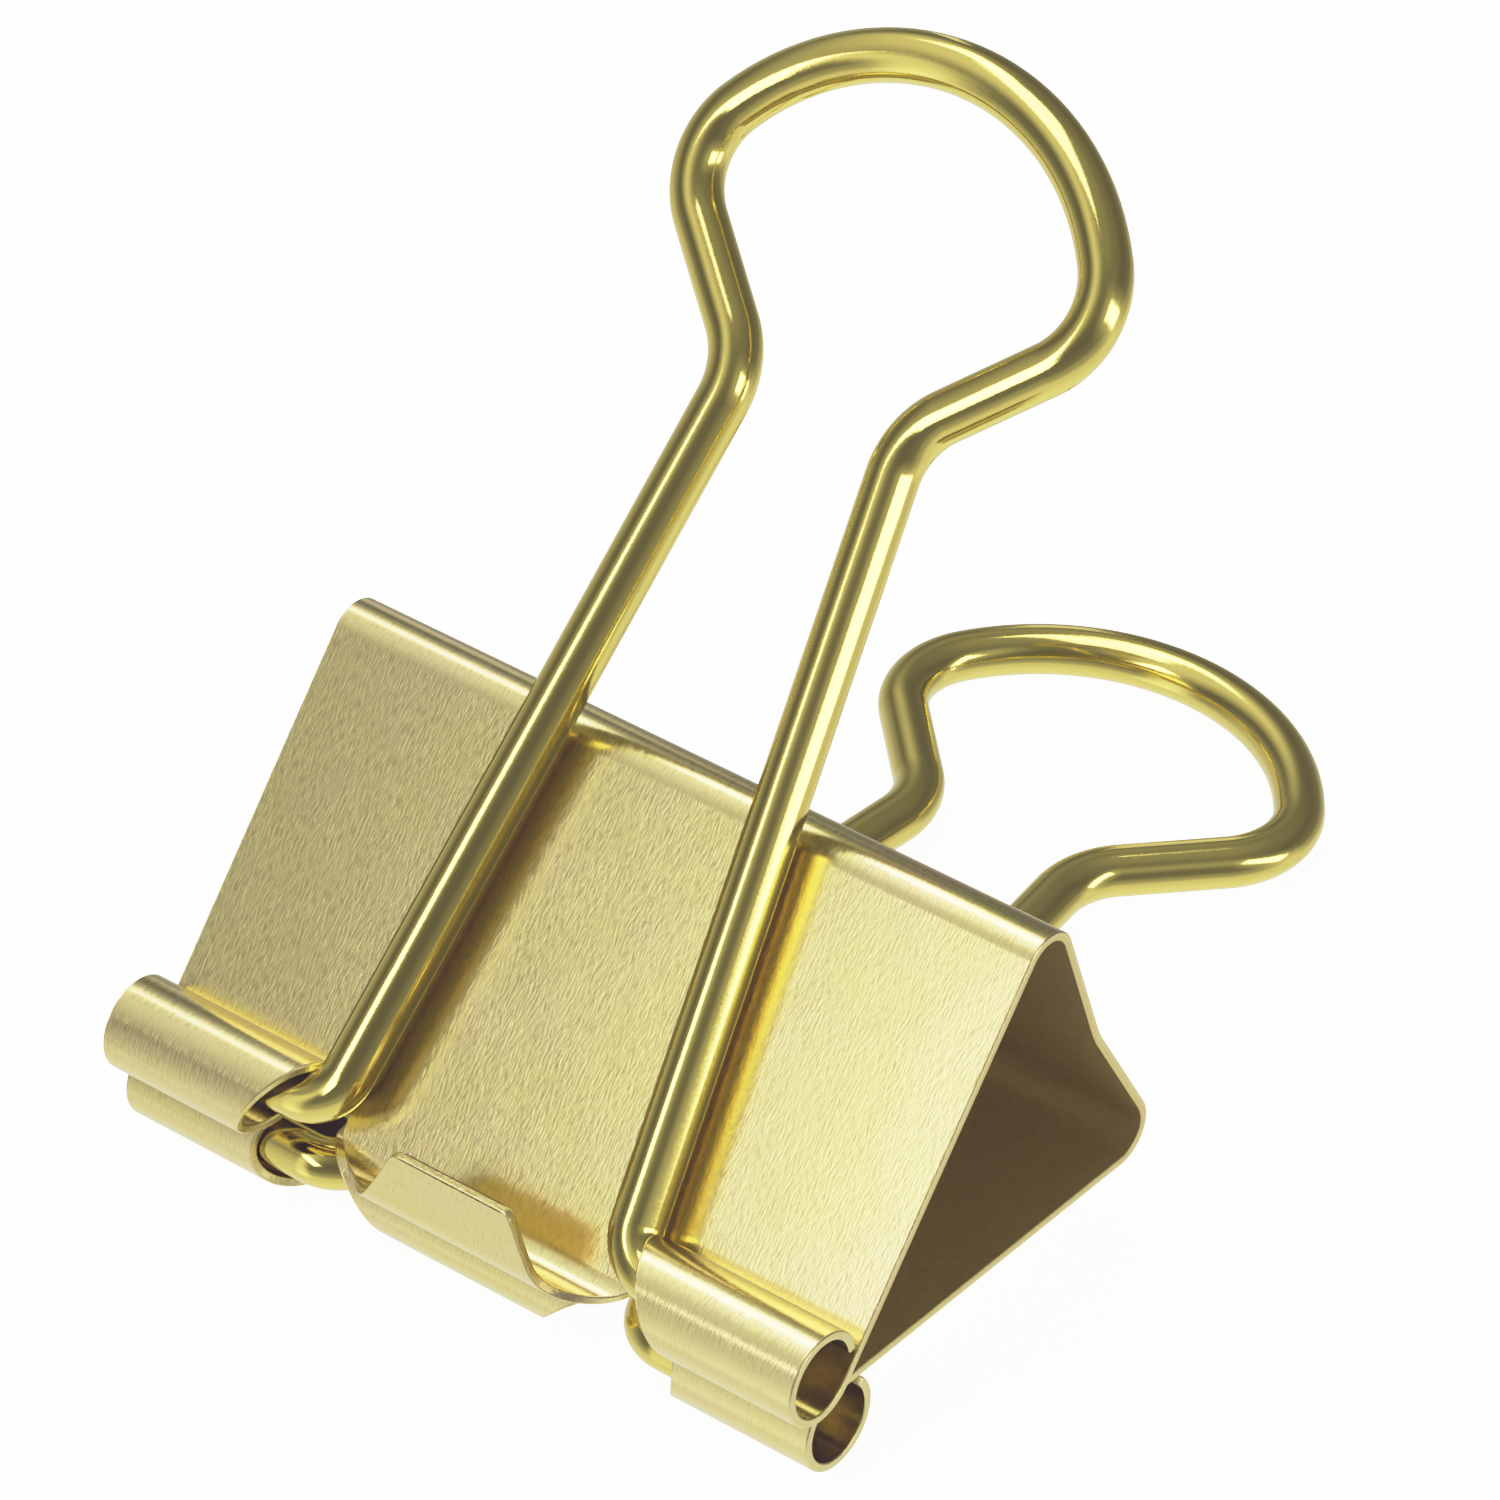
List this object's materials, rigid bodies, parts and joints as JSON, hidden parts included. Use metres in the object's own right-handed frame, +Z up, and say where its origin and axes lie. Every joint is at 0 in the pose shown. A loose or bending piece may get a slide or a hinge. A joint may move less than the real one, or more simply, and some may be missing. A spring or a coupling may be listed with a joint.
{
  "type": "binder clip",
  "caption": "Small gold binder clip: folded spring-steel body with rolled lips and wire handles that fold back and forward.",
  "frame": {"origin": "middle of the base of the clip's bounding box, on the surface that it lies on", "axes": "+Z up; +X along the clip's width; +Y from the lips towards the spine and the handles' heads, along the lower handle"},
  "size_m": [0.0194, 0.0282, 0.0232],
  "materials": {
    "gold_sheet": "satin pale gold plate over spring steel, finely brushed",
    "gold_wire": "bright gold plate over steel wire"
  },
  "bodies": {
    "spine": {"spine": "gold_sheet"},
    "upper_jaw": {"upper_jaw": "gold_sheet"},
    "lower_jaw": {"lower_jaw": "gold_sheet"},
    "upper_handle": {"upper_handle": "gold_wire"},
    "lower_handle": {"lower_handle": "gold_wire"}
  },
  "joints": [
    {"name": "upper_jaw_open", "type": "hinge", "parent": "spine", "child": "upper_jaw", "pos_m": [0.00015, -0.0058, 0.00965], "axis": [-1, 0, 0], "range_deg": [0, 24], "stiffness_Nm_per_rad": 0.18, "springref_deg": -12.03},
    {"name": "lower_jaw_open", "type": "hinge", "parent": "spine", "child": "lower_jaw", "pos_m": [0.00015, -0.00247, 0.00193], "axis": [1, 0, 0], "range_deg": [0, 24], "stiffness_Nm_per_rad": 0.18, "springref_deg": -12.03},
    {"name": "upper_handle_swing", "type": "hinge", "parent": "upper_jaw", "child": "upper_handle", "pos_m": [0.00015, -0.01282, 0.0034], "axis": [1, 0, 0], "range_deg": [0, 155]},
    {"name": "lower_handle_swing", "type": "hinge", "parent": "lower_jaw", "child": "lower_handle", "pos_m": [0, -0.01234, 0.00112], "axis": [-1, 0, 0], "range_deg": [0, 155]}
  ],
  "couplings": [
    {"joint": "lower_jaw_open", "follows": "upper_jaw_open", "ratio": 1}
  ]
}
